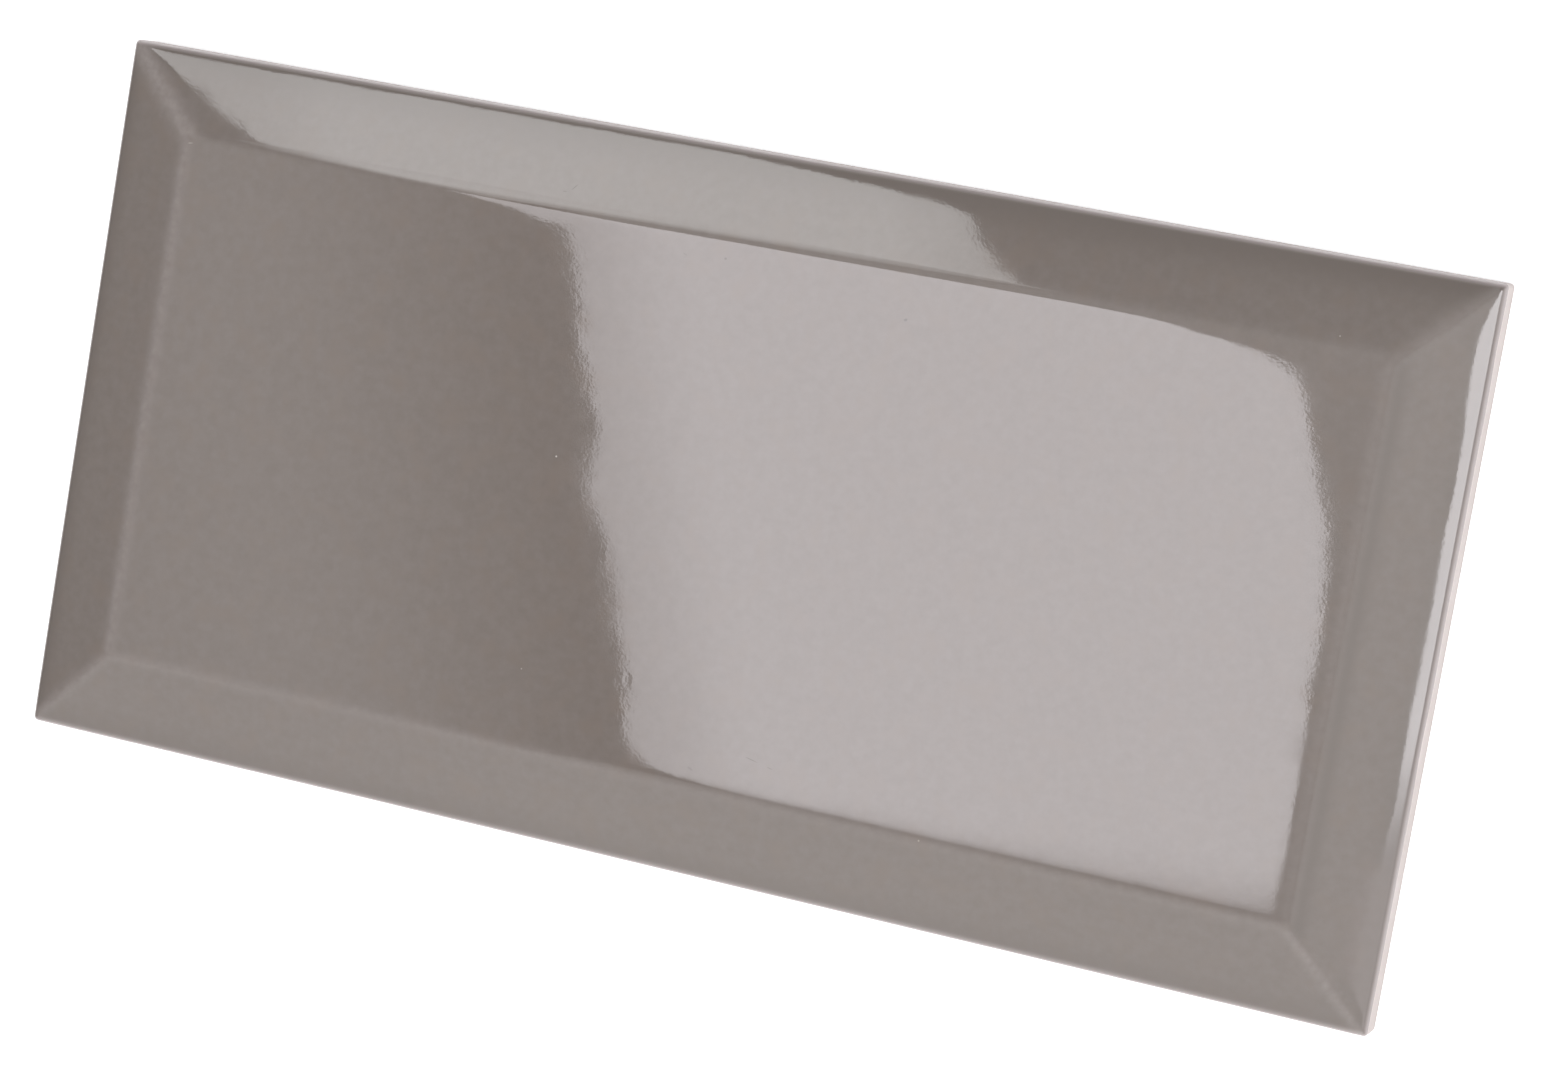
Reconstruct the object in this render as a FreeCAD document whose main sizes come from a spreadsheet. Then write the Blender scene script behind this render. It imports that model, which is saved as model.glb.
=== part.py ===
import FreeCAD, Part
import Sketcher
import os

# A bevelled wall tile lying on its back. X runs along the tile, Y across it and Z out of the
# glazed face. The origin is the middle of the back. All sizes are in millimetres.

SIZES = {
    "length": (200.0, "long side of the tile"),
    "width": (100.0, "short side of the tile"),
    "thickness": (8.0, "back to the raised panel"),
    "edge_height": (5.0, "back to the line where the bevel meets the side"),
    "bevel_width": (12.2, "width of the sloping border, seen from the front"),
    "ridge_radius": (8.0, "soft rounding between panel, bevels and mitres"),
    "lip_radius": (1.1, "rounding where the glaze rolls over the side"),
    "corner_radius": (1.1, "rounding of the four upright corners"),
    "heel_chamfer": (0.2, "chamfer round the back edge"),
    "key_border": (9.0, "plain border of the back, outside the key grooves"),
    "groove_width": (6.0, "width of a key groove"),
    "groove_depth": (0.5, "depth of a key groove"),
    "groove_pitch": (10.0, "least spacing of the key grooves"),
}

doc = FreeCAD.newDocument("wall_tile")
sheet = doc.addObject("Spreadsheet::Sheet", "Sizes")
for row, (name, (value, meaning)) in enumerate(SIZES.items(), start=1):
    sheet.set(f"A{row}", meaning)
    sheet.set(f"B{row}", str(value))
    sheet.setAlias(f"B{row}", name)
doc.recompute()

TILE = doc.addObject("PartDesign::Body", "Tile")
TILE.Label = "bevelled_tile"
PLANES = {feature.Role: feature for feature in TILE.Origin.OriginFeatures}
ORIGIN = (-1, 1)
START = 1
END = 2
CENTRE = 3
SMALL = 1e-6


def size(name):
    return float(sheet.get(name))


def new_sketch(name, plane):
    sketch = TILE.newObject("Sketcher::SketchObject", name)
    sketch.AttachmentSupport = [(PLANES[plane], "")]
    sketch.MapMode = "FlatFace"
    return sketch


def draw_loop(sketch, edges, joint="Coincident"):
    """Add edges end to end and join each to the next one; return their numbers."""
    numbers = [sketch.addGeometry(edge, False) for edge in edges]
    for number, following in zip(numbers, numbers[1:] + numbers[:1]):
        sketch.addConstraint(Sketcher.Constraint(joint, number, END, following, START))
    return numbers


def polygon(corners):
    points = [FreeCAD.Vector(x, y, 0) for x, y in corners]
    return [Part.LineSegment(a, b) for a, b in zip(points, points[1:] + points[:1])]


def tie(sketch, kind, places, name, expression):
    """Bind a sketch dimension between two places to the sizes in the sheet."""
    (first, first_end), (second, second_end) = places
    index = sketch.addConstraint(Sketcher.Constraint(kind, first, first_end, second, second_end, 1.0))
    sketch.renameConstraint(index, name)
    sketch.setExpression(f"Constraints.{name}", expression)


def square_up(sketch, level, upright):
    for number in level:
        sketch.addConstraint(Sketcher.Constraint("Horizontal", number))
    for number in upright:
        sketch.addConstraint(Sketcher.Constraint("Vertical", number))


def pad_slab():
    """The pressed slab, before its face is shaped."""
    sketch = new_sketch("Outline", "XY_Plane")
    x = size("length") / 2
    y = size("width") / 2
    front, right, rear, left = draw_loop(sketch, polygon([(-x, -y), (x, -y), (x, y), (-x, y)]))
    square_up(sketch, level=(front, rear), upright=(right, left))
    sketch.addConstraint(Sketcher.Constraint("Symmetric", front, START, rear, START, *ORIGIN))
    tie(sketch, "DistanceX", [(front, START), (front, END)], "along", "Sizes.length")
    tie(sketch, "DistanceY", [(right, START), (right, END)], "across", "Sizes.width")
    slab = TILE.newObject("PartDesign::Pad", "Slab")
    slab.Profile = sketch
    slab.setExpression("Length", "Sizes.thickness")
    doc.recompute()


def cut_bevels(name, section_plane, mirror_plane, overall):
    """Slope the face down to two opposite sides; the crossing slopes meet in mitres."""
    sketch = new_sketch(name + "Section", section_plane)
    side = size(overall) / 2
    top = size("thickness")
    rim = (side, size("edge_height"))
    ridge = (side - size("bevel_width"), top)
    slope, level, upright = draw_loop(sketch, polygon([rim, ridge, (side, top)]))
    square_up(sketch, level=[level], upright=[upright])
    tie(sketch, "DistanceX", [ORIGIN, (upright, END)], "reach", f"Sizes.{overall} / 2")
    tie(sketch, "DistanceY", [ORIGIN, (upright, END)], "rim", "Sizes.edge_height")
    tie(sketch, "DistanceY", [ORIGIN, (upright, START)], "top", "Sizes.thickness")
    tie(sketch, "DistanceX", [(level, START), (level, END)], "slope", "Sizes.bevel_width")
    cut = TILE.newObject("PartDesign::Pocket", name)
    cut.Profile = sketch
    cut.SideType = "Symmetric"
    cut.Type = "ThroughAll"
    doc.recompute()
    mirror = TILE.newObject("PartDesign::Mirrored", name + "Pair")
    mirror.Originals = [cut]
    mirror.MirrorPlane = (PLANES[mirror_plane], [""])
    TILE.Tip = mirror
    doc.recompute()


def dress_edges(kind, name, measure, expression, wanted):
    """Round or chamfer the edges of the tile so far for which wanted(edge) is true."""
    base = TILE.Tip
    edges = base.Shape.Edges
    feature = TILE.newObject(kind, name)
    feature.Base = (base, [f"Edge{n}" for n, edge in enumerate(edges, start=1) if wanted(edge)])
    feature.setExpression(measure, expression)
    doc.recompute()


def is_upright(edge):
    box = edge.BoundBox
    return box.XLength < SMALL and box.YLength < SMALL


def meets_panel(edge):
    return edge.BoundBox.ZMax > size("thickness") - SMALL


def runs_round_rim(edge):
    halfway_down = size("edge_height") / 2
    halfway_up = (size("edge_height") + size("thickness")) / 2
    return edge.BoundBox.ZMin > halfway_down and edge.BoundBox.ZMax < halfway_up


def lies_on_back(edge):
    return edge.BoundBox.ZMax < SMALL


def press_key_grooves():
    """Round-ended grooves in the back, side by side, where the adhesive takes hold."""
    sketch = new_sketch("GrooveOutline", "XY_Plane")
    radius = size("groove_width") / 2
    straight = size("length") / 2 - size("key_border") - radius
    y = -size("width") / 2 + size("key_border") + radius
    left = FreeCAD.Vector(-straight, y, 0)
    right = FreeCAD.Vector(straight, y, 0)
    down = FreeCAD.Vector(0, -radius, 0)
    out = FreeCAD.Vector(radius, 0, 0)
    lower = Part.LineSegment(left + down, right + down)
    right_end = Part.Arc(right + down, right + out, right - down)
    upper = Part.LineSegment(right - down, left - down)
    left_end = Part.Arc(left - down, left - out, left + down)
    edges = [lower, right_end, upper, left_end]
    lower, right_end, upper, left_end = draw_loop(sketch, edges, joint="Tangent")
    square_up(sketch, level=(lower, upper), upright=())
    tie(sketch, "DistanceY", [(lower, END), (upper, START)], "wide", "Sizes.groove_width")
    straight_half = "Sizes.length / 2 - Sizes.key_border - Sizes.groove_width / 2"
    tie(sketch, "DistanceX", [ORIGIN, (right_end, CENTRE)], "right", straight_half)
    tie(sketch, "DistanceX", [(left_end, CENTRE), ORIGIN], "left", straight_half)
    from_middle = "Sizes.width / 2 - Sizes.key_border"
    tie(sketch, "DistanceY", [(lower, START), ORIGIN], "lowest", from_middle)
    groove = TILE.newObject("PartDesign::Pocket", "KeyGroove")
    groove.Profile = sketch
    groove.Reversed = True
    groove.setExpression("Length", "Sizes.groove_depth")
    doc.recompute()
    spread = "(Sizes.width - 2 * Sizes.key_border - Sizes.groove_width)"
    row = TILE.newObject("PartDesign::LinearPattern", "KeyGrooves")
    row.Originals = [groove]
    row.Direction = (sketch, ["V_Axis"])
    row.setExpression("Length", spread)
    row.setExpression("Occurrences", f"floor({spread} / Sizes.groove_pitch) + 1")
    TILE.Tip = row
    doc.recompute()


pad_slab()
cut_bevels("EndBevel", "XZ_Plane", "YZ_Plane", "length")
cut_bevels("SideBevel", "YZ_Plane", "XZ_Plane", "width")
dress_edges("PartDesign::Fillet", "Corners", "Radius", "Sizes.corner_radius", is_upright)
dress_edges("PartDesign::Fillet", "Ridges", "Radius", "Sizes.ridge_radius", meets_panel)
dress_edges("PartDesign::Fillet", "Lip", "Radius", "Sizes.lip_radius", runs_round_rim)
dress_edges("PartDesign::Chamfer", "Heel", "Size", "Sizes.heel_chamfer", lies_on_back)
press_key_grooves()

for item in doc.Objects:
    if "Invalid" in item.State or "Error" in item.State:
        raise RuntimeError(f"{item.Name} did not build: {item.State}")
steps = [item for item in TILE.Group if item.isDerivedFrom("PartDesign::Feature")]
for before, after in zip(steps, steps[1:]):
    if not after.Shape.Volume < before.Shape.Volume:
        raise RuntimeError(f"{after.Name} takes nothing off the tile")
if TILE.Shape.isNull() or not TILE.Shape.isValid() or len(TILE.Shape.Solids) != 1:
    raise RuntimeError("the tile is not one sound solid")

os.makedirs("parts", exist_ok=True)
TILE.Shape.exportStep(f"parts/{TILE.Label}.step")
print(TILE.Label, round(TILE.Shape.Volume / 1000, 2), "cm3", TILE.Shape.BoundBox)
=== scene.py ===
import math

import bpy
import numpy as np
from mathutils import Matrix, Vector


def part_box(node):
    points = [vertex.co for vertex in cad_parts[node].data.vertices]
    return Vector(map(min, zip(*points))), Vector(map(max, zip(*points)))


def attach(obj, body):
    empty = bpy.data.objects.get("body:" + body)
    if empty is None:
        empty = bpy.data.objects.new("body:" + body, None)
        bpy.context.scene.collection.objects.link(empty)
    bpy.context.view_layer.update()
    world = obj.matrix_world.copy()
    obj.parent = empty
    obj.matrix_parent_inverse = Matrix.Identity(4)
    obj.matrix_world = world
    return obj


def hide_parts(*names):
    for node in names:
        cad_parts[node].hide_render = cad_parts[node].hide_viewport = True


# A glazed wall tile lying face up on a pale floor. All sizes are in metres, in the frame of the
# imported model: X along the tile, Y across it, Z out of the face, origin in the middle of the back.

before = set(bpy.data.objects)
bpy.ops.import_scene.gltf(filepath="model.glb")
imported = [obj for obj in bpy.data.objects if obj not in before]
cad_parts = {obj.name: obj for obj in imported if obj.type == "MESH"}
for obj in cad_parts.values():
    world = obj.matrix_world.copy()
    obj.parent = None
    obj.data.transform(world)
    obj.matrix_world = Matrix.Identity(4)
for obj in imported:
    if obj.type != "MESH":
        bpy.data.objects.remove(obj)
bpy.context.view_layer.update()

MM = 0.001
HALF_LENGTH, HALF_WIDTH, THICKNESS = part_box("bevelled_tile")[1]

# Sizes that the part's source names too.
EDGE_HEIGHT = 5.0 * MM
BEVEL_WIDTH = 12.2 * MM
RIDGE_RADIUS = 8.0 * MM
LIP_RADIUS = 1.1 * MM
HEEL_CHAMFER = 0.2 * MM
KEY_BORDER = 9.0 * MM
GROOVE_WIDTH = 6.0 * MM
GROOVE_DEPTH = 0.5 * MM
GROOVE_PITCH = 10.0 * MM

# Finer forms, which only the looks need.
CORNER_RADIUS = 0.6 * MM
CORNER_EASE = 0.7 * MM
ROLL_DEPTH = 0.05 * MM
ROLL_REACH = 1.5 * MM
LIP_INSET_SHARE = 0.72
GLAZE_END = math.radians(73)
GLAZE_END_SWAY = math.radians(5)
SWAY_HEIGHT = 3.0 * MM
GLAZE_PROUD = 0.025 * MM
GROOVE_WALL = 0.5 * MM
GROOVE_BEND_SHARE = 0.8
PANEL_WAVE_SLOPE = math.radians(0.03)
BEVEL_WAVE_SLOPE = math.radians(0.025)
BEVEL_WAVE_ONSET = 3
CALM_BORDER = 4.0 * MM

# The glaze has run thin over the lip and the ridges, and these paler bands also carry painted
# reflection at the lip and painted highlight along the ridges and mitres, set per side: how far they
# show, and how much.
THIN_AND_REFLECTION_REACH = {"rear": 0.5 * MM, "front": 0.6 * MM, "right": 0.45 * MM, "left": 0.5 * MM}
THIN_AND_REFLECTION_SHARE = {"rear": 1.0, "front": 0.6, "right": 0.7, "left": 0.36}
THIN_AND_REFLECTION_POWER = 2.5
RIDGE_REACH = {"rear": 1.0 * MM, "front": 0.8 * MM, "right": 1.0 * MM, "left": 1.0 * MM}
RIDGE_SHARE = {"rear": 0.06, "front": 0.22, "right": 0.2, "left": 0.45}
RIDGE_SHIFT = {"rear": 0.0 * MM, "front": 0.3 * MM, "right": 0.5 * MM, "left": -0.15 * MM}
MITRE_EASE = 1.5 * MM
MITRE_REACH = {"rear left": 1.5 * MM, "front left": 0.8 * MM,
               "rear right": 1.0 * MM, "front right": 0.8 * MM}
MITRE_SHARE = {"rear left": 0.6, "front left": 0.36, "rear right": 0.2, "front right": 0.34}
MITRE_SHIFT = {"rear left": 0.1 * MM, "front left": -0.3 * MM,
               "rear right": -0.4 * MM, "front right": 0.3 * MM}

# Painted shade: the glaze is coloured darker just inside the lip and at the foot of the right ridge,
# where its reflection is darker.
SHADE_REACH = {"rear": 4.0 * MM, "front": 3.0 * MM, "right": 3.0 * MM, "left": 2.0 * MM}
SHADE_SHARE = {"rear": 1.0, "front": 0.55, "right": 0.6, "left": 0.9}
SHADE_FOOT_PLACE = 1.2 * MM
SHADE_FOOT_REACH = 1.1 * MM
SHADE_FOOT_SHARE = 0.75

# Spacing of the mesh lines.
EDGE_SPACING = 0.16 * MM
RIDGE_SPACING = 0.24 * MM
WIDEST_SPACING = 1.05 * MM
SPACING_GROWTH = 0.16
CORNER_PATCH = 3.0 * MM
LIP_RINGS = 8
BARE_RINGS = 4
FIRST_BARE_RING = 0.08
SIDE_RINGS = 4
SMALL = 1e-6

# Material slots of the mesh.
GLAZE = 0
BISCUIT = 1

BEVEL_SLOPE = (THICKNESS - EDGE_HEIGHT) / BEVEL_WIDTH
BEVEL_TILT = math.atan(BEVEL_SLOPE)
MITRE_TURN = math.acos(math.cos(BEVEL_TILT) ** 2)
# An eased edge of blend b lies b * ln 2 below the sharp one, and is matched there to the radius.
EASE = 0.25 / math.log(2)
RIDGE_BLEND = EASE * BEVEL_SLOPE * RIDGE_RADIUS * math.tan(BEVEL_TILT / 2)
MITRE_BLEND = EASE * BEVEL_SLOPE * RIDGE_RADIUS * math.tan(MITRE_TURN / 2) * math.sqrt(2)

rng = np.random.default_rng(11)


def soft_min(a, b, blend):
    """The lower of two heights, eased into each other where they meet."""
    return np.minimum(a, b) - blend * np.log1p(np.exp(-np.abs(a - b) / blend))


def smooth_step(t):
    t = np.clip(t, 0, 1)
    return t * t * (3 - 2 * t)


def plane_waves(count, shortest, longest):
    """Random ripples: a function of x and y whose slope is 1 on average."""
    lengths = shortest * (longest / shortest) ** rng.random(count)
    headings = rng.random(count) * 2 * math.pi
    phases = rng.random(count) * 2 * math.pi

    def waves(x, y):
        z = np.zeros_like(x)
        for length, heading, phase in zip(lengths, headings, phases):
            turns = 2 * math.pi / length
            along = x * math.cos(heading) + y * math.sin(heading)
            z += np.sin(turns * along + phase) / turns
        return z * math.sqrt(2 / count)

    return waves


panel_waves = plane_waves(48, 6 * MM, 24 * MM)
bevel_waves = plane_waves(48, 5 * MM, 18 * MM)
line_sway = plane_waves(24, 6 * MM, 40 * MM)


def bevel_planes(x, y):
    return (EDGE_HEIGHT + BEVEL_SLOPE * (HALF_LENGTH - np.abs(x)),
            EDGE_HEIGHT + BEVEL_SLOPE * (HALF_WIDTH - np.abs(y)))


def from_edge(x, y):
    """Distance to the nearest side, rounded at the corners."""
    return soft_min(HALF_LENGTH - np.abs(x), HALF_WIDTH - np.abs(y), CORNER_EASE)


def face_height(x, y):
    """The glazed face: flat panel, four bevels, soft ridges and mitres, and the roll to the lip."""
    end_bevel, side_bevel = bevel_planes(x, y)
    bevels = soft_min(end_bevel, side_bevel, MITRE_BLEND)
    z = soft_min(np.full_like(x, THICKNESS), bevels, RIDGE_BLEND)
    z -= ROLL_DEPTH * np.exp(-from_edge(x, y) / ROLL_REACH)
    on_bevel = smooth_step((THICKNESS - bevels) / (THICKNESS - EDGE_HEIGHT) * BEVEL_WAVE_ONSET)
    calm = smooth_step(from_edge(x, y) / CALM_BORDER)
    z += calm * PANEL_WAVE_SLOPE * panel_waves(x, y)
    z += calm * on_bevel * BEVEL_WAVE_SLOPE * bevel_waves(x, y)
    return z


def from_mitre(x, y):
    """Distance from the nearest mitre, below 0 on the end bevels and above 0 on the side bevels."""
    end_bevel, side_bevel = bevel_planes(x, y)
    return (end_bevel - side_bevel) / (BEVEL_SLOPE * math.sqrt(2))


def end_share(x, y):
    """1 on the end bevels, 0 on the side bevels, and between them at the mitres."""
    return smooth_step(0.5 - from_mitre(x, y) / MITRE_EASE)


def at_corner(x, y, values):
    """The value of the corner that each point belongs to."""
    front = np.where(x < 0, values["front left"], values["front right"])
    rear = np.where(x < 0, values["rear left"], values["rear right"])
    return np.where(y < 0, front, rear)


def ridge_paleness_and_highlight(x, y):
    """How thin the glaze has run over the ridges and mitres, with painted highlight set per side and
    corner: a share that falls to 0 beside them.
    """
    to_panel = (np.minimum(*bevel_planes(x, y)) - THICKNESS) / BEVEL_SLOPE
    at_end = end_share(x, y)

    def near(side):
        return RIDGE_SHARE[side] * np.exp(-((to_panel - RIDGE_SHIFT[side]) / RIDGE_REACH[side]) ** 2)

    end_ridge = np.where(x < 0, near("left"), near("right"))
    side_ridge = np.where(y < 0, near("front"), near("rear"))
    ridge = at_end * end_ridge + (1 - at_end) * side_ridge
    off_mitre = (from_mitre(x, y) - at_corner(x, y, MITRE_SHIFT)) / at_corner(x, y, MITRE_REACH)
    mitre = at_corner(x, y, MITRE_SHARE) * np.exp(-off_mitre ** 2)
    return np.maximum(ridge, mitre * smooth_step(0.5 - to_panel / MITRE_EASE))


def painted_shade_depth(x, y):
    """How much painted shade darkens the glaze inside the lip and at the foot of the right ridge."""
    def inside(distance, side):
        return SHADE_SHARE[side] * np.exp(-(distance / SHADE_REACH[side]) ** 2)

    by_end = np.maximum(inside(HALF_LENGTH - x, "right"), inside(HALF_LENGTH + x, "left"))
    by_side = np.maximum(inside(HALF_WIDTH - y, "rear"), inside(HALF_WIDTH + y, "front"))
    off_foot = x - (HALF_LENGTH - BEVEL_WIDTH) - SHADE_FOOT_PLACE
    foot = SHADE_FOOT_SHARE * np.exp(-(off_foot / SHADE_FOOT_REACH) ** 2) * end_share(x, y)
    return np.maximum(np.maximum(by_end, by_side), foot)


def lip_thinness_and_reflection(x, y):
    """How thin the glaze has run near the lip, with painted reflection, strongest at the rear: most at
    the side, less with every step inward.
    """
    def near(distance, side):
        return THIN_AND_REFLECTION_SHARE[side] * np.exp(-(distance / THIN_AND_REFLECTION_REACH[side]) ** THIN_AND_REFLECTION_POWER)

    by_end = np.maximum(near(HALF_LENGTH - x, "right"), near(HALF_LENGTH + x, "left"))
    by_side = np.maximum(near(HALF_WIDTH - y, "rear"), near(HALF_WIDTH + y, "front"))
    return np.maximum(by_end, by_side)


def graded_lines(half, inset):
    """Mesh lines of the face from side to side, closer together at the ridges and the lip."""
    last = half - inset
    ridge = half - BEVEL_WIDTH
    lines = [0.0]
    while lines[-1] < last:
        at = lines[-1]
        to_edge = EDGE_SPACING + SPACING_GROWTH * (last - at)
        to_ridge = RIDGE_SPACING + SPACING_GROWTH * abs(at - ridge)
        lines.append(at + min(to_edge, to_ridge, WIDEST_SPACING))
    positive = np.array(lines[1:]) * last / lines[-1]
    return np.concatenate([-positive[::-1], [0.0], positive])


def respaced(lines, last, places):
    """The same number of lines out to last, with the nearest free one moved to each place."""
    positive = lines[lines > 0] * last / lines[-1]
    free = np.ones(len(positive), dtype=bool)
    for place in places:
        nearest = np.argmin(np.where(free, np.abs(positive - place), np.inf))
        positive[nearest] = place
        free[nearest] = False
    return np.concatenate([-positive[::-1], [0.0], positive])


def round_corners(x, y, half_x, half_y, radius):
    """Bend the corners of a rectangular grid to an arc, easing out over a small patch."""
    inner_x = half_x - CORNER_PATCH
    inner_y = half_y - CORNER_PATCH
    u = (np.abs(x) - inner_x) / CORNER_PATCH
    v = (np.abs(y) - inner_y) / CORNER_PATCH
    inside = (u > 0) & (v > 0)
    u = np.clip(u, 0, 1)
    v = np.clip(v, 0, 1)
    straight = 1 - radius / CORNER_PATCH

    def boundary(t):
        """Across and along coordinates of the outline, t along the patch's edge."""
        turn = np.clip((t - straight) / (1 - straight), 0, 1) * math.pi / 4
        along = np.where(t > straight, 1 - (1 - np.sin(turn)) * radius / CORNER_PATCH, t)
        across = 1 - (1 - np.cos(turn)) * radius / CORNER_PATCH
        return across, along

    right_u, right_v = boundary(v)
    top_v, top_u = boundary(u)
    middle = 1 - (1 - math.sqrt(0.5)) * radius / CORNER_PATCH
    new_u = u * right_u + (1 - v) * u + v * top_u - (u * (1 - v) + u * v * middle)
    new_v = (1 - u) * v + u * right_v + v * top_v - ((1 - u) * v + u * v * middle)
    new_x = np.where(inside, np.sign(x) * (inner_x + new_u * CORNER_PATCH), x)
    new_y = np.where(inside, np.sign(y) * (inner_y + new_v * CORNER_PATCH), y)
    return new_x, new_y


def groove_rows():
    """Middle lines of the key grooves in the back."""
    outermost = HALF_WIDTH - KEY_BORDER - GROOVE_WIDTH / 2
    count = math.floor(2 * outermost / GROOVE_PITCH + SMALL) + 1
    return np.linspace(-outermost, outermost, count)


def back_surface(x, y):
    """Bend the back's mesh lines to the round groove ends, then press the grooves in."""
    radius = GROOVE_WIDTH / 2
    end = HALF_LENGTH - KEY_BORDER
    off_row = np.min(np.abs(y[..., None] - groove_rows()), axis=-1)
    pull = radius - np.sqrt(np.maximum(radius ** 2 - off_row ** 2, 0))
    reach = KEY_BORDER * GROOVE_BEND_SHARE
    x = x - np.sign(x) * pull * np.clip(1 - np.abs(np.abs(x) - end) / reach, 0, 1)
    past_end = np.maximum(np.abs(x) - (end - radius), 0)
    depth_in = radius - np.hypot(off_row, past_end)
    return x, GROOVE_DEPTH * smooth_step(depth_in / GROOVE_WALL)


def grid_quads(columns, rows, first):
    i, j = np.meshgrid(np.arange(columns - 1), np.arange(rows - 1), indexing="ij")
    corner = (first + i * rows + j).ravel()
    return np.stack([corner, corner + rows, corner + rows + 1, corner + 1], axis=1)


def grid_rim(columns, rows, first):
    """Vertex numbers round a grid's edge, anticlockwise seen from above."""
    i = np.arange(columns)
    j = np.arange(rows)
    return first + np.concatenate([
        i * rows,
        (columns - 1) * rows + j[1:],
        i[-2::-1] * rows + rows - 1,
        j[-2:0:-1],
    ])


def ring_quads(upper, lower):
    return np.stack([lower, np.roll(lower, -1), np.roll(upper, -1), upper], axis=1)


def build_tile():
    """The whole tile as one closed mesh: face, lip, sides, heel and back."""
    # The lip starts about where its arc is tangent to the face.
    roll_slope = ROLL_DEPTH / ROLL_REACH * math.exp(-LIP_RADIUS * LIP_INSET_SHARE / ROLL_REACH)
    lip_start = math.atan(BEVEL_SLOPE + roll_slope)
    face_inset = LIP_RADIUS * (1 - math.sin(lip_start))
    heel_inset = GLAZE_PROUD + HEEL_CHAMFER

    x_lines = graded_lines(HALF_LENGTH, face_inset)
    y_lines = graded_lines(HALF_WIDTH, face_inset)
    columns = len(x_lines)
    count = len(y_lines)

    points = []
    layers = {"thin_glaze_and_reflection": [], "ridge": [], "lip_painted_shade": []}
    quads = []
    paint = []
    total = 0

    def grid(x_at, y_at):
        x, y = np.meshgrid(x_at, y_at, indexing="ij")
        return round_corners(x, y, x_at[-1], y_at[-1], CORNER_RADIUS)

    def add(x, y, z, thin_and_reflection, ridge, painted_shade):
        nonlocal total
        first = total
        x, y, z, *shades = np.broadcast_arrays(x, y, z, thin_and_reflection, ridge, painted_shade)
        points.append(np.stack([x.ravel(), y.ravel(), z.ravel()], axis=1))
        for layer, shade in zip(layers.values(), shades):
            layer.append(shade.ravel())
        total += x.size
        return first

    def skin(faces, material):
        quads.append(faces)
        paint.append(np.full(len(faces), material))

    x, y = grid(x_lines, y_lines)
    z = face_height(x, y)
    first = add(x, y, z, lip_thinness_and_reflection(x, y), ridge_paleness_and_highlight(x, y), painted_shade_depth(x, y))
    skin(grid_quads(columns, count, first), GLAZE)
    rim = grid_rim(columns, count, first)

    rim_x = x.ravel()[rim]
    rim_y = y.ravel()[rim]
    rim_ridge_and_highlight = ridge_paleness_and_highlight(rim_x, rim_y)
    rim_painted_shade = painted_shade_depth(rim_x, rim_y)
    side_x, side_y = grid(x_lines * HALF_LENGTH / x_lines[-1], y_lines * HALF_WIDTH / y_lines[-1])
    step_x = (side_x.ravel()[rim] - rim_x) / face_inset
    step_y = (side_y.ravel()[rim] - rim_y) / face_inset
    arc_z = z.ravel()[rim] - LIP_RADIUS * math.cos(lip_start)
    glaze_end = GLAZE_END + GLAZE_END_SWAY * line_sway(rim_x, rim_y) / SWAY_HEIGHT

    # Rings from the face down to the heel: step out from the rim, height and material.
    rings = []

    def on_arc(angle, radius, material):
        out = face_inset - LIP_RADIUS + radius * np.sin(angle)
        rings.append((out, arc_z + radius * np.cos(angle), material))

    for share in np.linspace(0, 1, LIP_RINGS + 1)[1:]:
        on_arc(lip_start + (glaze_end - lip_start) * share, LIP_RADIUS, GLAZE)
    bare_radius = LIP_RADIUS - GLAZE_PROUD
    for share in np.linspace(FIRST_BARE_RING, 1, BARE_RINGS):
        on_arc(glaze_end + (math.pi / 2 - glaze_end) * share, bare_radius, BISCUIT)
    for share in np.linspace(0, 1, SIDE_RINGS + 1)[1:]:
        rings.append((face_inset - GLAZE_PROUD, arc_z + (HEEL_CHAMFER - arc_z) * share, BISCUIT))

    upper = rim
    for out, height, material in rings:
        ring_x = rim_x + step_x * out
        ring_y = rim_y + step_y * out
        first = add(ring_x, ring_y, height, lip_thinness_and_reflection(ring_x, ring_y), rim_ridge_and_highlight, rim_painted_shade)
        lower = first + np.arange(len(rim))
        skin(ring_quads(upper, lower), material)
        upper = lower

    groove_end = HALF_LENGTH - KEY_BORDER
    walls = []
    for row in groove_rows():
        if row > 0:
            for side in (-1, 1):
                walls.append(row + side * GROOVE_WIDTH / 2)
                walls.append(row + side * (GROOVE_WIDTH / 2 - GROOVE_WALL))
    x, y = grid(respaced(x_lines, HALF_LENGTH - heel_inset, [groove_end, groove_end - GROOVE_WALL]),
                respaced(y_lines, HALF_WIDTH - heel_inset, walls))
    x, z = back_surface(x, y)
    first = add(x, y, z, 1.0, 0.0, 0.0)
    skin(ring_quads(upper, grid_rim(columns, count, first)), BISCUIT)
    skin(grid_quads(columns, count, first)[:, ::-1], BISCUIT)

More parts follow.
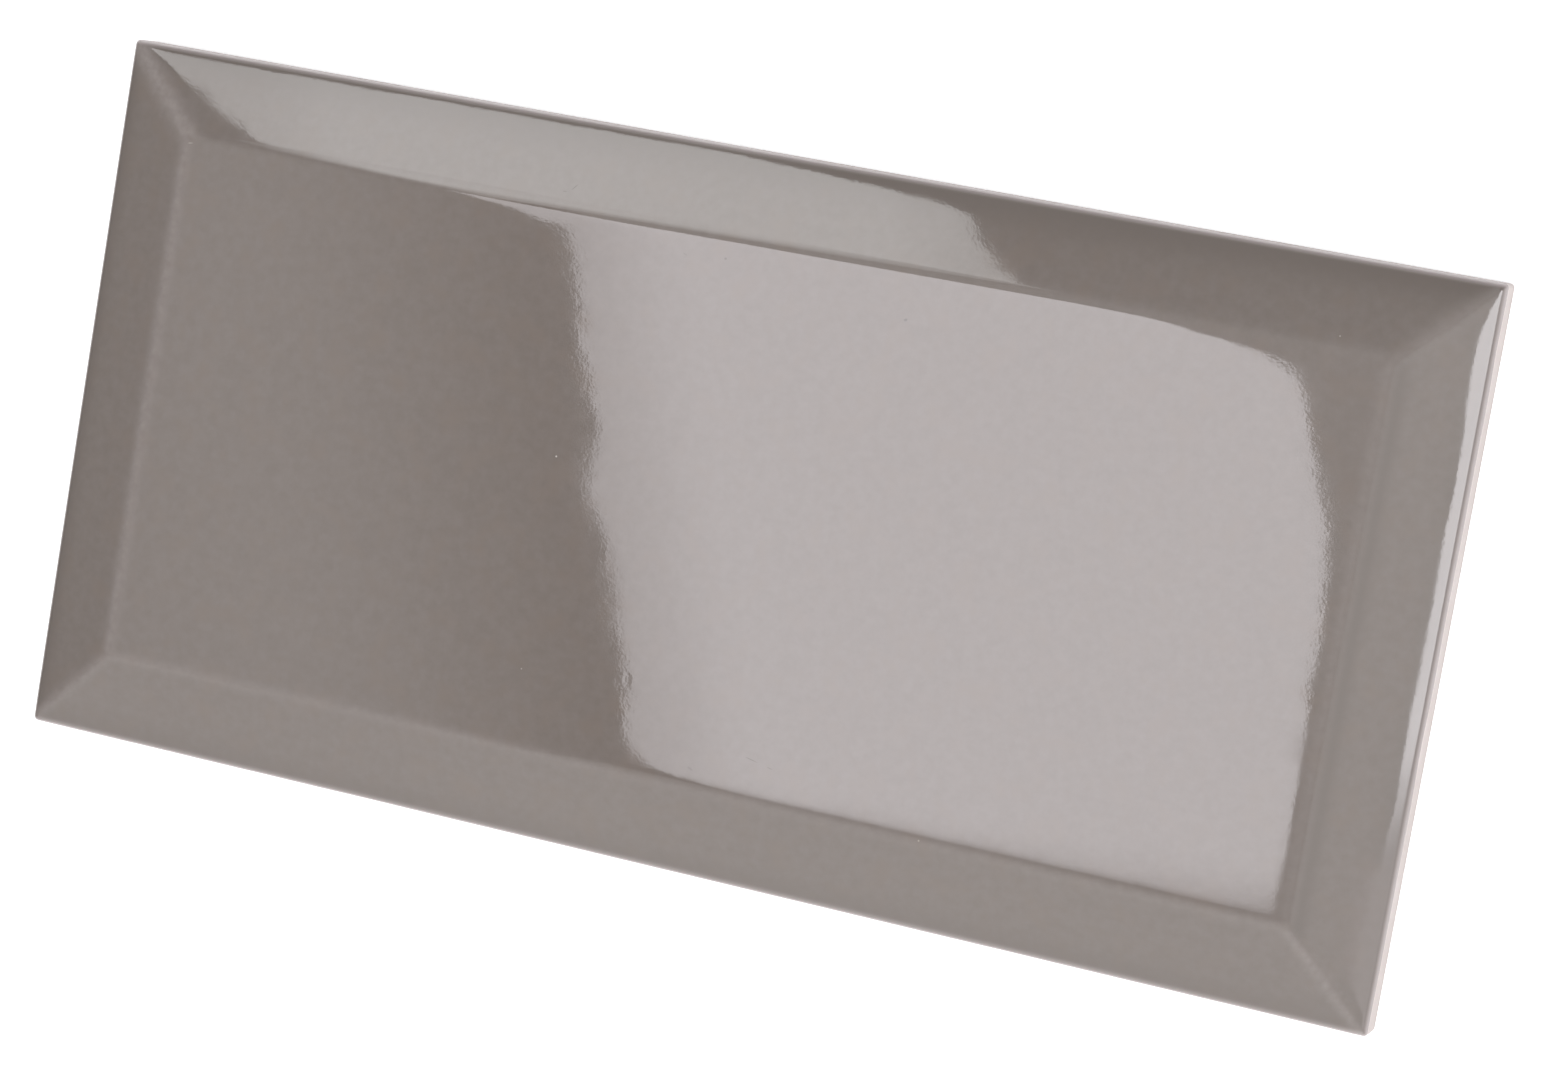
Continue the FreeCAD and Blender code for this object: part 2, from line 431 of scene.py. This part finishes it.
    mesh = bpy.data.meshes.new("glazed_tile")
    vertices = np.concatenate(points)
    faces = np.concatenate(quads)
    mesh.vertices.add(len(vertices))
    mesh.vertices.foreach_set("co", vertices.astype(np.float32).ravel())
    mesh.loops.add(faces.size)
    mesh.loops.foreach_set("vertex_index", faces.astype(np.int32).ravel())
    mesh.polygons.add(len(faces))
    mesh.polygons.foreach_set("loop_start", np.arange(0, faces.size, 4, dtype=np.int32))
    mesh.polygons.foreach_set("material_index", np.concatenate(paint).astype(np.int32))
    mesh.polygons.foreach_set("use_smooth", np.ones(len(faces), dtype=bool))
    for name, shades in layers.items():
        values = mesh.attributes.new(name, "FLOAT", "POINT").data
        values.foreach_set("value", np.concatenate(shades).astype(np.float32))
    mesh.update(calc_edges=True)
    mesh.validate()
    tile = bpy.data.objects.new("glazed_tile", mesh)
    bpy.context.scene.collection.objects.link(tile)
    return tile


class Graph:
    """Short names for making and joining shader nodes."""

    def __init__(self, owner):
        owner.use_nodes = True
        self.tree = owner.node_tree
        self.tree.nodes.clear()

    def node(self, kind, settings=None, **inputs):
        made = self.tree.nodes.new(kind)
        for name, value in (settings or {}).items():
            setattr(made, name, value)
        for name, value in inputs.items():
            self.feed(made.inputs[name.replace("_", " ")], value)
        return made

    def feed(self, socket, value):
        if isinstance(value, bpy.types.NodeSocket):
            self.tree.links.new(value, socket)
        else:
            socket.default_value = value

    def math(self, operation, a, b=0.0):
        made = self.node("ShaderNodeMath", {"operation": operation})
        self.feed(made.inputs[0], a)
        self.feed(made.inputs[1], b)
        return made.outputs[0]

    def dot(self, a, b):
        made = self.node("ShaderNodeVectorMath", {"operation": "DOT_PRODUCT"})
        self.feed(made.inputs[0], a)
        self.feed(made.inputs[1], b)
        return made.outputs["Value"]

    def remap(self, value, low, high, to_low=0.0, to_high=1.0, smooth=False):
        made = self.node("ShaderNodeMapRange",
                         {"interpolation_type": "SMOOTHSTEP" if smooth else "LINEAR"})
        for socket, number in zip(made.inputs, (value, low, high, to_low, to_high)):
            self.feed(socket, number)
        return made.outputs[0]

    def mix(self, share, a, b):
        made = self.node("ShaderNodeMix", {"data_type": "RGBA"})
        colours = [socket for socket in made.inputs if socket.type == "RGBA"]
        self.feed(made.inputs["Factor"], share)
        self.feed(colours[0], a)
        self.feed(colours[1], b)
        return [socket for socket in made.outputs if socket.type == "RGBA"][0]

    def noise(self, where, scale, detail=2.0):
        return self.node("ShaderNodeTexNoise", Vector=where, Scale=scale, Detail=detail).outputs["Fac"]

    def attribute(self, name):
        return self.node("ShaderNodeAttribute", {"attribute_name": name}).outputs["Fac"]

    def mark(self, where, x, y, turn, long, wide):
        """1 in the middle of a small oval mark on the face, falling to 0 at its edge."""
        made = self.node("ShaderNodeMapping", {"vector_type": "TEXTURE"}, Vector=where)
        made.inputs["Location"].default_value = (x * MM, y * MM, 0)
        made.inputs["Rotation"].default_value = (0, 0, math.radians(turn))
        made.inputs["Scale"].default_value = (long * MM / 2, wide * MM / 2, 1)
        flat = self.node("ShaderNodeVectorMath", {"operation": "MULTIPLY"})
        self.feed(flat.inputs[0], made.outputs["Vector"])
        flat.inputs[1].default_value = (1, 1, 0)
        away = self.node("ShaderNodeVectorMath", {"operation": "LENGTH"})
        self.feed(away.inputs[0], flat.outputs["Vector"])
        return self.remap(away.outputs["Value"], MARK_CORE, 1.0, 1.0, 0.0, smooth=True)


GLAZE_DEEP = (0.139, 0.1155, 0.102, 1)
GLAZE_PALE = (0.153, 0.128, 0.1145, 1)
GLAZE_WARM = (0.151, 0.121, 0.103, 1)
# Painted shade: a darker glaze colour just inside the lip and at the foot of the right ridge.
GLAZE_PAINTED_SHADE = (0.115, 0.095, 0.083, 1)
# Paler glaze over the ridges and mitres: partly the glaze run thin, partly painted highlight.
GLAZE_BROKEN_AND_HIGHLIGHT = (0.26, 0.228, 0.216, 1)
# Paler, mauve glaze at the lip: partly the glaze run thin over the biscuit, partly painted reflection.
GLAZE_THIN_AND_REFLECTION = (0.56, 0.50, 0.495, 1)
GLAZE_SPECK = (0.05, 0.04, 0.033, 1)
GLAZE_PINHOLE = (0.62, 0.57, 0.53, 1)
BISCUIT_PALE = (0.775, 0.708, 0.688, 1)
BISCUIT_DEEP = (0.725, 0.648, 0.622, 1)
GLAZE_IOR = 1.65
BISCUIT_IOR = 1.45
GLAZE_ROUGHNESS = (0.018, 0.04)
BISCUIT_ROUGHNESS = (0.82, 0.92)

# Noise features per metre, the usual range of a noise value, and the ranges that it is taken to.
MOTTLE_SCALE = 700
WARM_SCALE = 230
BREAK_SCALE = 900
GLOSS_SCALE = 120
PATCH_SCALE = 130
GRAIN_SCALE = 4200
NOISE_RANGE = (0.3, 0.7)
WARM_RANGE = (0.5, 0.75)
WARM_SHARES = (0.0, 0.7)
BREAK_SHARES = (0.75, 1.25)

# Relief that is only bump: ripples of the glaze as noise scale and height in micrometres, one
# shallow dimple as x, y, turn, length and width, its depth in micrometres, and the biscuit's grain.
MICROMETRE = 0.001 * MM
RIPPLES = [(420, 1.2), (1100, 0.35), (2600, 0.6)]
DIMPLE = (-8.7, -24.5, 0, 1.6, 2.6)
DIMPLE_DEPTH = 0.6
GRAIN_DEPTH = 0.06 * MM
GRAIN_STRENGTH = 0.35

# Small firing marks and fine scratches on the face: x and y in millimetres, turn in degrees,
# length, width and strength. A mark is full up to MARK_CORE of its half size.
MARK_CORE = 0.4
DARK_MARKS = [
    (-4.7, 34.8, 0, 0.5, 0.45, 0.5),
    (22.0, 31.2, 20, 0.7, 0.5, 0.7),
    (-10.6, 34.4, -20, 0.9, 0.25, 0.3),
    (2.5, -34.7, -20, 1.2, 0.4, 0.3),
    (-28.4, 40.6, 50, 1.6, 0.16, 0.6),
    (-29.7, 39.8, 5, 0.8, 0.16, 0.5),
    (11.0, -31.6, -12, 2.4, 0.16, 0.6),
    (13.8, -32.2, -12, 1.1, 0.16, 0.5),
]
PALE_MARKS = [
    (-24.4, 3.7, 0, 0.34, 0.34, 0.7),
    (-24.4, -26.3, 0, 0.3, 0.3, 0.3),
    (36.3, -37.3, 0, 0.35, 0.35, 0.3),
    (-87.2, 36.9, 10, 1.1, 0.25, 0.2),
    (80.2, 39.6, 0, 0.3, 0.3, 0.3),
]


def most(g, where, marks):
    """The strongest of several marks at each place."""
    strongest = 0.0
    for *oval, strength in marks:
        here = g.math("MULTIPLY", g.mark(where, *oval), strength)
        strongest = g.math("MAXIMUM", here, strongest)
    return strongest


def glaze_material():
    material = bpy.data.materials.new("grey_glaze")
    g = Graph(material)
    where = g.node("ShaderNodeTexCoord").outputs["Object"]
    mottle = g.remap(g.noise(where, MOTTLE_SCALE, 4), *NOISE_RANGE)
    colour = g.mix(mottle, GLAZE_DEEP, GLAZE_PALE)
    warm = g.remap(g.noise(where, WARM_SCALE), *WARM_RANGE, *WARM_SHARES)
    colour = g.mix(warm, colour, GLAZE_WARM)
    # Painted shade darkens the glaze just inside the lip and at the foot of the right ridge.
    colour = g.mix(g.attribute("lip_painted_shade"), colour, GLAZE_PAINTED_SHADE)
    # Paler ridges and mitres: thin glaze there, with painted highlight set per side and corner.
    uneven = g.remap(g.noise(where, BREAK_SCALE), *NOISE_RANGE, *BREAK_SHARES)
    broken_and_highlight = g.math("MULTIPLY", g.attribute("ridge"), uneven)
    colour = g.mix(broken_and_highlight, colour, GLAZE_BROKEN_AND_HIGHLIGHT)
    # Paler lip: thin glaze over the biscuit, with painted reflection, strongest at the rear.
    colour = g.mix(g.attribute("thin_glaze_and_reflection"), colour, GLAZE_THIN_AND_REFLECTION)
    colour = g.mix(most(g, where, DARK_MARKS), colour, GLAZE_SPECK)
    colour = g.mix(most(g, where, PALE_MARKS), colour, GLAZE_PINHOLE)
    rough = g.remap(g.noise(where, GLOSS_SCALE, 3), *NOISE_RANGE, *GLAZE_ROUGHNESS)
    height = 0.0
    for scale, tall in RIPPLES:
        height = g.math("ADD", g.math("MULTIPLY", g.noise(where, scale, 1), tall), height)
    dent = g.math("MULTIPLY", g.mark(where, *DIMPLE), DIMPLE_DEPTH)
    height = g.math("SUBTRACT", height, dent)
    bump = g.node("ShaderNodeBump", Strength=1.0, Distance=MICROMETRE, Height=height)
    shader = g.node("ShaderNodeBsdfPrincipled", Base_Color=colour, Roughness=rough, IOR=GLAZE_IOR,
                    Normal=bump.outputs["Normal"])
    g.node("ShaderNodeOutputMaterial", Surface=shader.outputs["BSDF"])
    return material


def biscuit_material():
    material = bpy.data.materials.new("bare_biscuit")
    g = Graph(material)
    where = g.node("ShaderNodeTexCoord").outputs["Object"]
    patchy = g.remap(g.noise(where, PATCH_SCALE, 5), *NOISE_RANGE)
    colour = g.mix(patchy, BISCUIT_DEEP, BISCUIT_PALE)
    grain = g.noise(where, GRAIN_SCALE, 3)
    bump = g.node("ShaderNodeBump", Strength=GRAIN_STRENGTH, Distance=GRAIN_DEPTH, Height=grain)
    rough = g.remap(patchy, 0, 1, *BISCUIT_ROUGHNESS)
    shader = g.node("ShaderNodeBsdfPrincipled", Base_Color=colour, Roughness=rough, IOR=BISCUIT_IOR,
                    Normal=bump.outputs["Normal"])
    g.node("ShaderNodeOutputMaterial", Surface=shader.outputs["BSDF"])
    return material


def toward(angle_x, angle_y):
    """Unit vector leaning these angles, in degrees, from straight up toward +X and +Y."""
    lean = Vector((math.tan(math.radians(angle_x)), math.tan(math.radians(angle_y)), 1))
    return lean.normalized()


def softbox(name, height, corners, radiance, fades, tint=(1, 1, 1, 1)):
    """A level lamp panel; fades lists (edge number, width, level) where an edge is dimmer."""
    mesh = bpy.data.meshes.new(name)
    mesh.from_pydata([(x, y, height) for x, y in corners], [], [range(len(corners))])
    lamp = bpy.data.objects.new(name, mesh)
    bpy.context.scene.collection.objects.link(lamp)
    lamp.visible_camera = False
    material = bpy.data.materials.new(name)
    g = Graph(material)
    place = g.node("ShaderNodeNewGeometry").outputs["Position"]
    strength = radiance
    for edge, width, level in fades:
        start = Vector((*corners[edge], 0))
        along = Vector((*corners[(edge + 1) % len(corners)], 0)) - start
        inward = Vector((-along.y, along.x, 0)).normalized()
        at_edge = inward.dot(start)
        dim = g.remap(g.dot(place, inward), at_edge, at_edge + width, level, 1.0, smooth=True)
        strength = g.math("MULTIPLY", dim, strength)
    glow = g.node("ShaderNodeEmission", Color=tint, Strength=strength)
    g.node("ShaderNodeOutputMaterial", Surface=glow.outputs["Emission"])
    mesh.materials.append(material)


def studio_world(base, glows):
    """An even room with broad soft glows: (lean toward +X, toward +Y, full, faded, strength)."""
    world = bpy.data.worlds.new("studio")
    bpy.context.scene.world = world
    g = Graph(world)
    heading = g.node("ShaderNodeTexCoord").outputs["Generated"]
    strongest = 0.0
    for lean_x, lean_y, full, faded, strength in glows:
        edge = math.cos(math.radians(faded))
        core = math.cos(math.radians(full))
        glow = g.remap(g.dot(heading, toward(lean_x, lean_y)), edge, core, 0.0, strength, smooth=True)
        strongest = g.math("MAXIMUM", glow, strongest)
    level = g.math("ADD", strongest, base)
    rays = g.node("ShaderNodeLightPath")
    seen = g.remap(rays.outputs["Is Camera Ray"], 0, 1, level, 1.0)
    sky = g.node("ShaderNodeBackground", Strength=seen)
    g.node("ShaderNodeOutputWorld", Surface=sky.outputs["Background"])


def pale_floor():
    """A white floor that keeps the tile's soft shadow."""
    half = 3.0
    level = -0.02 * MM
    grey = (0.7, 0.7, 0.7, 1)
    lift_level = 0.5
    mesh = bpy.data.meshes.new("floor")
    corners = [(-half, -half, level), (half, -half, level), (half, half, level), (-half, half, level)]
    mesh.from_pydata(corners, [], [(0, 1, 2, 3)])
    floor = bpy.data.objects.new("floor", mesh)
    bpy.context.scene.collection.objects.link(floor)
    material = bpy.data.materials.new("pale_floor")
    g = Graph(material)
    rays = g.node("ShaderNodeLightPath")
    seen = g.math("MAXIMUM", rays.outputs["Is Camera Ray"], rays.outputs["Is Glossy Ray"])
    seen = g.math("MAXIMUM", seen, rays.outputs["Is Transmission Ray"])
    paper = g.node("ShaderNodeBsdfDiffuse", Color=grey)
    lift = g.node("ShaderNodeEmission", Strength=g.math("MULTIPLY", seen, lift_level))
    both = g.node("ShaderNodeAddShader")
    g.feed(both.inputs[0], paper.outputs["BSDF"])
    g.feed(both.inputs[1], lift.outputs["Emission"])
    g.node("ShaderNodeOutputMaterial", Surface=both.outputs["Shader"])
    mesh.materials.append(material)


def aim_camera(place, target, roll, lens):
    """A camera at place that looks at target; roll is in degrees and lens in millimetres."""
    camera = bpy.data.objects.new("camera", bpy.data.cameras.new("camera"))
    bpy.context.scene.collection.objects.link(camera)
    forward = (Vector(target) - Vector(place)).normalized()
    right = forward.cross(Vector((0, 1, 0))).normalized()
    level = Matrix((right, right.cross(forward), -forward)).transposed()
    camera.matrix_world = (Matrix.Translation(place) @ level.to_4x4()
                           @ Matrix.Rotation(math.radians(roll), 4, "Z"))
    camera.data.lens = lens
    camera.data.sensor_width = 36.0
    camera.data.sensor_fit = "HORIZONTAL"
    camera.data.clip_start = 0.01
    camera.data.clip_end = 20.0
    bpy.context.scene.camera = camera


tile = build_tile()
tile.data.materials.append(glaze_material())
tile.data.materials.append(biscuit_material())
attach(tile, "root")
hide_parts("bevelled_tile")

pale_floor()
# Lamps that overlap hang a small gap apart.
LAMP_HEIGHT = 1.4
LAMP_GAP = 0.005
softbox("key_softbox", LAMP_HEIGHT,
        [(-0.66, 0.055), (-0.648, 0.012), (-0.631, -0.015), (-0.617, -0.03), (-0.595, -0.0365),
         (-0.589, -0.048), (-0.58, -0.085), (-0.5645, -0.128), (-0.561, -0.16), (-0.548, -0.188),
         (-0.524, -0.262), (-0.52, -0.278), (-0.509, -0.29), (-0.475, -0.313), (-0.455, -0.3285),
         (-0.187, -0.3115), (-0.1855, -0.255), (-0.19, -0.15), (-0.199, -0.098), (-0.222, -0.043),
         (-0.257, -0.02), (-0.274, 0.01), (-0.30, 0.155), (-0.335, 0.193), (-0.44, 0.116),
         (-0.565, 0.049)],
        4.86, [(9, 0.07, 0.74), (14, 0.043, 0.32)], tint=(0.985, 0.965, 1.0, 1))
softbox("rear_softbox", LAMP_HEIGHT,
        [(-1.04, 0.784), (-0.998, 0.745), (-0.928, 0.741), (-0.898, 0.724), (-0.865, 0.703),
         (-0.846, 0.692), (-0.82, 0.62), (-0.395, 0.62), (-0.408, 0.687), (-0.419, 0.698),
         (-0.434, 0.711), (-0.443, 0.733), (-0.462, 0.744), (-0.503, 0.757), (-0.58, 0.784)],
        4.13, [(5, 0.06, 0.86), (7, 0.08, 0.8)])
softbox("rear_softbox_skirt", LAMP_HEIGHT + LAMP_GAP, [(-0.84, 0.62), (-0.66, 0.02), (-0.375, 0.62)],
        3.8, [(0, 0.06, 0.33), (1, 0.15, 0.5)])
softbox("right_softbox", LAMP_HEIGHT,
        [(0.36, 0.27), (0.50, 0.095), (0.559, 0.01), (0.562, -0.034), (0.572, -0.058),
         (0.572, -0.27), (1.08, -0.27), (1.08, 0.45), (0.50, 0.45)],
        7.1, [(5, 0.07, 0.36)], tint=(0.98, 0.97, 1.0, 1))
softbox("right_softbox_foot", LAMP_HEIGHT,
        [(0.54, -0.27), (0.54, -0.62), (1.08, -0.62), (1.08, -0.27)],
        2.6, [(0, 0.03, 0.75)], tint=(1.0, 0.97, 0.98, 1))
softbox("left_card", LAMP_HEIGHT + 2 * LAMP_GAP,
        [(-1.1, 0.50), (-1.1, -0.55), (-0.62, -0.55), (-0.55, -0.33), (-0.478, -0.33),
         (-0.59, 0.042), (-0.66, 0.50)],
        1.4, [(0, 0.45, 0.6), (4, 0.24, 0.3)])
studio_world(0.25, [
    (-22, -42, 16, 39, 1.6),
    (0, -46, 16, 44, 1.95),
    (25, -10, 2, 34, 1.95),
    (66, 0, 10, 40, 1.4),
    (-40, -8, 10, 28, 0.6),
    (-8, 6, 10, 27, 1.08),
    (-24, 0, 20, 40, 0.52),
    (-20, 42, 6, 22, 0.8),
])
aim_camera(place=(0.191874, 0.063069, 0.549116), target=(0.009039, -0.001426, 0.008),
           roll=9.68, lens=98.48)
bpy.context.scene.view_settings.view_transform = "Standard"
